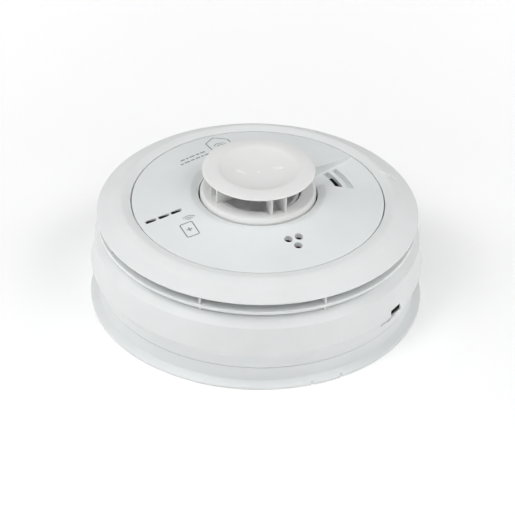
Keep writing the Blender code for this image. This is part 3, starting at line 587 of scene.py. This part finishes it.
# ------------------------------------------------------------------ front cover: top ring, fin and ribs
top_line = smooth_line([(R_DISC - 0.1, 41.0), (65.2, 42.3), (62.2, 44.0), (60.2, 45.3), (58.4, 46.15), (57.3, 46.48), (56.6, 46.48), (55.6, 46.33), (54.5, 46.12), (R_SEAM + 0.5, 45.94)], 6)
profile = rounded([(57.0, 44.4), (66.6, 40.2), (R_DISC, 40.45, 0.2), (R_DISC, 40.8, 0.25), top_line[0]], 3)[1:-1] + top_line
profile += rounded([top_line[-1], (R_SEAM + 0.25, 45.84, 0.2), (R_SEAM + 0.25, 44.0), (57.0, 44.4)], 3)[1:-1] + [(57.0, 44.4)]
ring = turned(profile)
fin = turned(rounded([(66.8, 35.08, 0.25), (66.8, 36.6, 0.3), (61.0, 36.6), (61.0, 35.08)], 4))
ribs = []
for azimuth in RIB_AZ:
    rib = prism([(60.3, -33.6), (60.3, -43.6), (65.9, -41.0), (66.2, -38.0), (66.2, -36.0), (65.6, -33.2), (64.8, -33.5), (63.7, -33.9)], -0.4, 0.4)
    ribs.append(along(spun(rib, -90, "X"), azimuth))
cover = combine(ring, ("UNION", together(ribs)), ("UNION", fin))
piece("top_ring", cover, WHITE, "head", ["front_cover"])


# raised and printed marks, laid on a turned surface
def strip_on(line_points, height, width, rise, sink=0.12, step=0.35, closed=False):
    """A thin band of constant width along (x, y) points, following a surface given by height(r)."""
    pts = [Vector(p) for p in line_points]
    if closed:
        pts.append(pts[0].copy())
    dense = []
    for a, b in zip(pts, pts[1:]):
        n = max(1, int((b - a).length / step))
        dense += [a.lerp(b, k / n) for k in range(n)]
    if not closed:
        dense.append(pts[-1])
    count = len(dense)
    bm = bmesh.new()
    rows = []
    for i, p in enumerate(dense):
        before = dense[i - 1] if i or closed else p
        after = dense[(i + 1) % count] if i < count - 1 or closed else p
        u = (p - before).normalized() if (p - before).length > 1e-9 else None
        v = (after - p).normalized() if (after - p).length > 1e-9 else None
        u, v = u or v, v or u
        t = (u + v).normalized()
        side = Vector((-t.y, t.x)) * (width / 2 / max(0.5, t.dot(u)))
        row = []
        for s, dz in ((1, rise), (-1, rise), (-1, -sink), (1, -sink)):
            q = p + side * s
            row.append(bm.verts.new((q.x, q.y, height(q.length) + dz)))
        rows.append(row)
    pairs = list(zip(rows, rows[1:])) + ([(rows[-1], rows[0])] if closed else [])
    for a, b in pairs:
        for k in range(4):
            bm.faces.new((a[k], a[(k + 1) % 4], b[(k + 1) % 4], b[k]))
    if not closed:
        bm.faces.new(rows[0][::-1])
        bm.faces.new(rows[-1])
    bmesh.ops.recalc_face_normals(bm, faces=bm.faces)
    return bm


ring_height = lambda r: height_on(top_line, r)
# raised ticks on the ring, in a whiter plastic that paints the highlight they catch; the faint pair opposite keeps the
# shell's white
ticks = []
for points in (((56.4, -1.6), (58.6, -5.4), (59.9, -3.6), (61.7, -6.6)),):
    ticks.append(strip_on(points, ring_height, 0.62, 0.3))
    faint = strip_on([(-x, -y) for x, y in points], ring_height, 0.5, 0.07)
piece("ring_ticks", together(ticks), HIGHLIGHT_WHITE, "head")
piece("ring_ticks_faint", faint, WHITE, "head")

# ------------------------------------------------------------------ test button
R_BUTTON, R_HOLE = R_SEAM - 0.25, R_CAGE + 0.65
slope = smooth_line([(52.45, 45.84), (50.5, 46.15), (48.0, 46.55), (42.0, 47.5), (36.0, 48.5), (31.6, 49.55), (29.6, 50.1), (28.45, 50.3)], 7)
profile = rounded([(R_BUTTON, 43.5), (R_BUTTON, 45.76, 0.2), (52.45, 45.84)], 4)[1:-1] + slope
profile += rounded([(28.45, 50.3), (28.15, 50.28, 0.25), (R_HOLE + 0.3, 49.55), (R_HOLE, 49.4, 0.2), (R_HOLE, 46.6)], 3)[1:-1]
profile += [(R_HOLE, 46.6), (26.8, 46.6), (28.3, 47.9), (36.0, 46.5), (45.0, 45.1), (51.0, 44.2), (51.0, 41.8), (55.3, 41.8), (55.3, 43.5), (R_BUTTON, 43.5)]
button = turned(profile)
wedge = [(20.0, -3.8), (56.0, -16.4), (56.0, 16.4), (20.0, 3.8)]
tray = [(20.0, -5.4), (56.0, -18.0), (56.0, 18.0), (20.0, 5.4)]
tray_bm = combine(turned([(25.4, 43.6), (51.8, 43.6), (51.8, 45.2), (45.0, 46.2), (36.0, 47.6), (28.3, 49.1), (26.6, 49.1), (25.4, 48.7)]),
                  ("INTERSECT", prism(tray, 40, 52)))
cut = combine(turned(rounded([(20.0, 45.1), (43.0, 45.1), (43.4, 45.1), (49.6, 45.1), (53.2, 46.05), (53.2, 54.0), (20.0, 54.0)])),
              ("INTERSECT", prism(wedge, 44.0, 55.0)))
rim = [polar(43.7, a) for a in (-15.4, -11, -7, -3.5, 0, 3.5, 7, 11, 15.4)] + [polar(33.9, a) for a in (15.4, 11, 7, 3.5, 0, -3.5, -7, -11, -15.4)]
duct = prism(rim, 41.9, 44.2)
slots = []
for r0, r1 in ((34.8, 37.6), (39.4, 42.0)):
    outline = [polar(r1, a) for a in range(-13, 14)] + [polar(r0, a) for a in range(13, -14, -1)]
    outline = rounded([(x, y, 0.45) if abs(abs(math.degrees(math.atan2(y, x))) - 13) < 0.1 else (x, y) for x, y in outline], 4)
    slots.append(prism(outline, 42.4, 46.0))
mouth = [polar(37.5, a) for a in range(-13, 4)] + [polar(34.9, a) for a in range(3, -14, -1)]
mouth = prism(mouth, 39.0, 42.9)
lights = [prism(capsule(x, LIGHT_Y, 4.9, 1.9, 6, 0.7), 40.0, 52.0) for x in LIGHT_SLOTS]
vents = [cylinder(x, y, 1.75, 40.0, 52.0, 48) for x, y in GAS_HOLES]
sx, sy = SWITCH
press_post = cylinder(sx, sy, 1.9, 29.6, 46.8, 32)
button = combine(button, ("UNION", tray_bm), ("UNION", duct), ("UNION", press_post), ("DIFFERENCE", cut), ("DIFFERENCE", together(slots)), ("DIFFERENCE", mouth),
                 ("DIFFERENCE", together(lights)), ("DIFFERENCE", together(vents)))
piece("button_cap", button, WHITE_BUTTON, "button", ["test_button"])
# a dark block in the front part of the inner slot, painted shade for the dark opening down to the sounder
shade_block = prism([polar(36.95, a) for a in range(-12, 8)] + [polar(34.95, a) for a in range(7, -13, -1)], 43.2, 44.35, 0.08)
piece("slot_shade_block", shade_block, SHADE_BLACK, "button")

button_height = lambda r: height_on(slope, r)
prints = []


def mark(points, width=0.42, closed=False):
    prints.append(strip_on(points, button_height, width, 0.02, 0.06, 0.4, closed))


def arc_points(cx, cy, radius, a0, a1, steps=8):
    return [(cx + polar(radius, a0 + (a1 - a0) * k / steps)[0], cy + polar(radius, a0 + (a1 - a0) * k / steps)[1]) for k in range(steps + 1)]


# a plain handset outline with a plus sign and three arcs
mark(rounded([(-38.95, -16.6, 0.8), (-33.65, -16.6, 0.8), (-33.65, -7.9, 0.8), (-38.95, -7.9, 0.8)], 4), 0.5, True)
mark([(-37.5, -12.2), (-35.1, -12.2)], 0.6)
mark([(-36.3, -13.4), (-36.3, -11.0)], 0.6)
for radius in (1.1, 2.1, 3.1):
    mark(arc_points(-34.3, -7.2, radius, 20, 125), 0.38)
# a plain roof over two arcs
mark([(-3.6, 39.6), (-3.6, 46.4), (1.5, 50.6), (6.6, 46.4), (6.6, 39.6)], 0.5)
for radius in (1.6, 3.0):
    mark(arc_points(1.5, 41.2, radius, 20, 160), 0.42)
# two rows of plain dashes
for row, (x0, y0, x1, y1, widths) in enumerate((((-19.4, 36.9, -7.0, 39.6, (2.0, 1.2, 2.4, 1.6, 2.2))), ((-20.6, 33.7, -6.4, 36.8, (1.4, 2.6, 1.8, 2.2, 1.3, 2.0))))):
    total = sum(widths) + 0.6 * (len(widths) - 1)
    length = math.dist((x0, y0), (x1, y1))
    at = 0.0
    for w in widths:
        a, b = at / total, (at + w) / total
        mark([(x0 + (x1 - x0) * a, y0 + (y1 - y0) * a), (x0 + (x1 - x0) * b, y0 + (y1 - y0) * b)], 0.9)
        at += w + 0.6
piece("button_print", together(prints), INK, "button")

# ------------------------------------------------------------------ return springs of round wire
for number, azimuth in enumerate((90, 210, 330), 1):
    cx, cy = polar(53.6, azimuth)
    bm = bmesh.new()
    rows, steps, turns = [], 40, 5.0
    for k in range(int(steps * turns) + 1):
        along_wire = k / (steps * turns)
        # closed end coils: the pitch is small over the first and last three quarters of a turn
        t = min(max((along_wire * turns - 0.75) / (turns - 1.5), 0.0), 1.0)
        z = 31.42 + 9.56 * (t * 0.9 + 0.1 * along_wire)
        a = math.radians(360 * turns * along_wire)
        out = Vector((math.cos(a), math.sin(a), 0))
        row = []
        for s in range(10):
            b = 2 * math.pi * s / 10
            q = Vector((cx, cy, z)) + out * (1.75 + 0.2 * math.cos(b)) + Vector((0, 0, 0.2 * math.sin(b)))
            row.append(bm.verts.new(q))
        rows.append(row)
    for a, b in zip(rows, rows[1:]):
        for s in range(10):
            bm.faces.new((a[s], a[(s + 1) % 10], b[(s + 1) % 10], b[s]))
    bm.faces.new(rows[0][::-1])
    bm.faces.new(rows[-1])
    coil = piece("spring_coil_%d" % number, bm, SPRING, "head", ["button_spring_%d" % number], 60.0)
    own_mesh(coil)

# ------------------------------------------------------------------ sensor cage
ON_BOARD = 23.9
profile = [(17.8, ON_BOARD), (19.4, ON_BOARD), (19.4, 46.6)] + rounded([(19.4, 46.6), (R_CAGE, 46.6, 0.2), (R_CAGE, 50.1, 0.8), (23.3, 51.5, 0.8), (21.0, 51.45), (18.1, 51.25, 0.3), (17.8, 50.6), (17.8, 48.0)], 4)[1:]
cage = turned(profile, 192)
dish = smooth_line([(17.2, 61.97), (16.6, 61.86), (16.0, 61.64), (15.3, 61.35), (14.0, 60.95), (12.0, 60.51), (9.0, 60.05), (6.0, 59.79), (3.0, 59.67), (0, 59.64)], 4)[1:]
rim = [(R_CAP - 0.1, 61.1), (R_CAP - 0.35, 61.24), (22.9, 61.39), (22.3, 61.55), (21.5, 61.71), (20.6, 61.84), (19.7, 61.93), (18.8, 61.98), (17.9, Z_TOP), (17.2, 61.97)]
profile = [(0, 59.15), (9.0, 59.3), (14.0, 59.5), (17.5, 60.1)] + rounded([(17.5, 60.1), (22.9, 60.4, 0.2), (R_CAP, 60.7, 0.25), (R_CAP - 0.1, 61.1)], 4)[1:-1] + rim + dish
cap = turned(profile, 192)
vanes = []
for quarter in (0, 90, 180, 270):
    for side in (-8.8, 8.8):
        vanes.append(along(box(13.0, 20.7, -0.5, 0.5, 49.8, 60.6, 0.18), quarter + side))
cage = combine(cage, ("UNION", together(vanes)), ("UNION", cap), ("DIFFERENCE", cylinder(0, 0, 17.8, 48.0, 51.0, 192)))
piece("cage_moulding", cage, WHITE_CAGE, "head", ["sensor_cage"])
dish_height = lambda r: height_on([(17.2, 61.97)] + dish, r)
# two raised bars and a gate mark on the dish, in the whiter plastic that paints the highlights they catch
bars = [strip_on([(-8.4, 4.0), (-5.4, 0.5)], dish_height, 0.7, 0.3), strip_on([(6.4, -0.2), (10.2, -2.0)], dish_height, 0.7, 0.3)]
gate = turned([(0, 59.4), (0.6, 59.4), (0.6, 59.74), (0.4, 59.79), (0, 59.77)], 24)
piece("cap_marks", together(bars + [gate]), HIGHLIGHT_WHITE, "head")

# ------------------------------------------------------------------ materials of the pieces kept from the frame
# the release catch is black plastic, its black also standing in as painted shade inside the removal slot
kept = {
    "release_catch": BLACK, "rear_housing": WHITE, "terminal_cover": IVORY, "inner_frame": IVORY, "switch_plunger": IVORY,
    "terminal_block": BLACK, "sounder_horn": BLACK, "thermistor_carrier": WHITE_STEM, "light_pipes": SMOKED, "insect_screen": SCREEN, "main_pcb": BOARD,
    "catch_pin": STEEL, "transformer_winding": COPPER, "transformer_core": FERRITE, "supply_capacitor_1": SLEEVE, "supply_capacitor_2": SLEEVE,
    "film_capacitor": FILM_BOX, "surge_varistor": VARISTOR, "backup_cell_1": CELL, "backup_cell_2": CELL, "co_sensor_cell": GAS_CAN,
    "co_sensor_filter": FELT, "thermistor": BEAD, "switch_body": CHIP, "bridge_rectifier": CHIP, "microcontroller": CHIP, "piezo_disc": PIEZO,
    "led_green": LED_GREEN, "led_red": LED_RED, "led_amber": LED_AMBER,
}
for name, ob in nodes.items():
    mat = kept.get(name)
    if mat is None:
        if name.startswith(("terminal_clamp", "socket_contact", "connector_pin")):
            mat = BRASS
        elif name.startswith(("terminal_screw", "housing_screw", "pcb_screw")):
            mat = STEEL
        elif name.startswith("button_spring"):
            mat = SPRING
        else:
            continue
    ob.data.materials.clear()
    ob.data.materials.append(mat)
for name, width in (("rear_housing", 0.3), ("release_catch", 0.2), ("terminal_cover", 0.3), ("terminal_block", 0.25), ("transformer_core", 0.3),
                    ("film_capacitor", 0.3), ("microcontroller", 0.12), ("bridge_rectifier", 0.15), ("switch_body", 0.2)):
    edge = nodes[name].modifiers.new("soft_edges", "BEVEL")
    edge.width = width * MM
    edge.segments = 2
    edge.limit_method = "ANGLE"
    edge.angle_limit = math.radians(40)
    edge.harden_normals = False

# ------------------------------------------------------------------ floor, lights, camera
bm = bmesh.new()
bmesh.ops.create_grid(bm, x_segments=1, y_segments=1, size=3.0)
mesh = bpy.data.meshes.new("floor")
bm.to_mesh(mesh)
bm.free()
floor = bpy.data.objects.new("floor", mesh)
floor.location = (0, 0, -0.0002)
bpy.context.scene.collection.objects.link(floor)
n = Nodes("pale_floor")
# the floor glows: an emission rising with distance from the object paints it a shade brighter far away, standing in
# for the light of a wide studio tent
reach = n.add("ShaderNodeVectorMath", operation="LENGTH")
n.link(n.where, reach.inputs[0])
glow = n.remap(reach.outputs["Value"], 0.16, 0.92, 0.12, 1.1)
n.set(Base_Color=n.blend(n.remap(n.noise(0.01, 2.0), 0.0, 1.0), (0.93, 0.93, 0.93), (0.95, 0.95, 0.95)), Roughness=0.9, Specular_IOR_Level=0.1, Emission_Color=(1.0, 1.0, 1.0), Emission_Strength=glow)
mesh.materials.append(n.mat)

VIEW_AZ, EL, ROLL = -25.3, math.radians(35.19), math.radians(1.43)
back = Vector((math.sin(math.radians(VIEW_AZ)) * math.cos(EL), -math.cos(math.radians(VIEW_AZ)) * math.cos(EL), math.sin(EL)))
right = Vector((math.cos(math.radians(VIEW_AZ)), math.sin(math.radians(VIEW_AZ)), 0.0))
up = back.cross(right)
cam = bpy.data.objects.new("camera", bpy.data.cameras.new("camera"))
bpy.context.scene.collection.objects.link(cam)
cam.data.sensor_width = 36.0
cam.data.lens = 36.0 * 2500.0 / 515.0
cam.data.clip_start, cam.data.clip_end = 0.05, 20.0
place = Vector((0, 0, 0.04066)) + back * 1.0485 + right * 0.00045 + up * -0.0201
cam.matrix_world = Matrix.Translation(place) @ Matrix((right, up, back)).transposed().to_4x4() @ Matrix.Rotation(ROLL, 4, "Z")
bpy.context.scene.camera = cam


def softbox(name, azimuth, elevation, distance, size, power, target=(0, 0, 0.03), size_y=None):
    """A softbox; azimuth is measured from the camera's side, positive to its right."""
    a, e = math.radians(VIEW_AZ + azimuth), math.radians(elevation)
    away = Vector((math.sin(a) * math.cos(e), -math.cos(a) * math.cos(e), math.sin(e)))
    lamp = bpy.data.lights.new(name, "AREA")
    lamp.shape = "RECTANGLE"
    lamp.size, lamp.size_y = size, size_y or size
    lamp.energy = power
    ob = bpy.data.objects.new(name, lamp)
    ob.location = Vector(target) + away * distance
    ob.rotation_mode = "QUATERNION"
    ob.rotation_quaternion = away.to_track_quat("Z", "Y")
    bpy.context.scene.collection.objects.link(ob)
    return ob


# one tent of softboxes: strongest low on the left, even overhead, little straight from the camera
for name, azimuth, elevation, share in (
        ("low_left", -100, 18, 0.504), ("low_right", 100, 18, 0.384), ("low_front_right", 50, 18, 0.243), ("low_front_left", -50, 18, 0.205),
        ("side_front_left", -45, 48, 0.599), ("side_front_right", 45, 48, 0.473), ("side_right", 90, 48, 0.410), ("side_left", -90, 48, 0.362),
        ("side_front", 0, 48, 0.095), ("side_back", 180, 48, 0.029), ("side_back_right", 135, 48, 0.035), ("top_left", -60, 72, 0.434),
        ("top_right", 60, 72, 0.082), ("top_front", 0, 72, 0.127), ("top_back", 180, 72, 0.065)):
    softbox(name, azimuth, elevation, 1.3, 0.5, 6.0 * share)
world = bpy.data.worlds.new("studio")
world.use_nodes = True
world.node_tree.nodes["Background"].inputs["Color"].default_value = (0.96, 0.98, 1.0, 1.0)
world.node_tree.nodes["Background"].inputs["Strength"].default_value = 0.01
# the backdrop behind the far edge of the floor reads as pale, and gives the object next to no light
path = world.node_tree.nodes.new("ShaderNodeLightPath")
pale = world.node_tree.nodes.new("ShaderNodeMapRange")
pale.inputs["To Min"].default_value = 0.01
pale.inputs["To Max"].default_value = 0.95
world.node_tree.links.new(path.outputs["Is Camera Ray"], pale.inputs["Value"])
world.node_tree.links.new(pale.outputs["Result"], world.node_tree.nodes["Background"].inputs["Strength"])
bpy.context.scene.world = world
bpy.context.scene.view_settings.view_transform = "Standard"
bpy.context.scene.view_settings.look = "None"
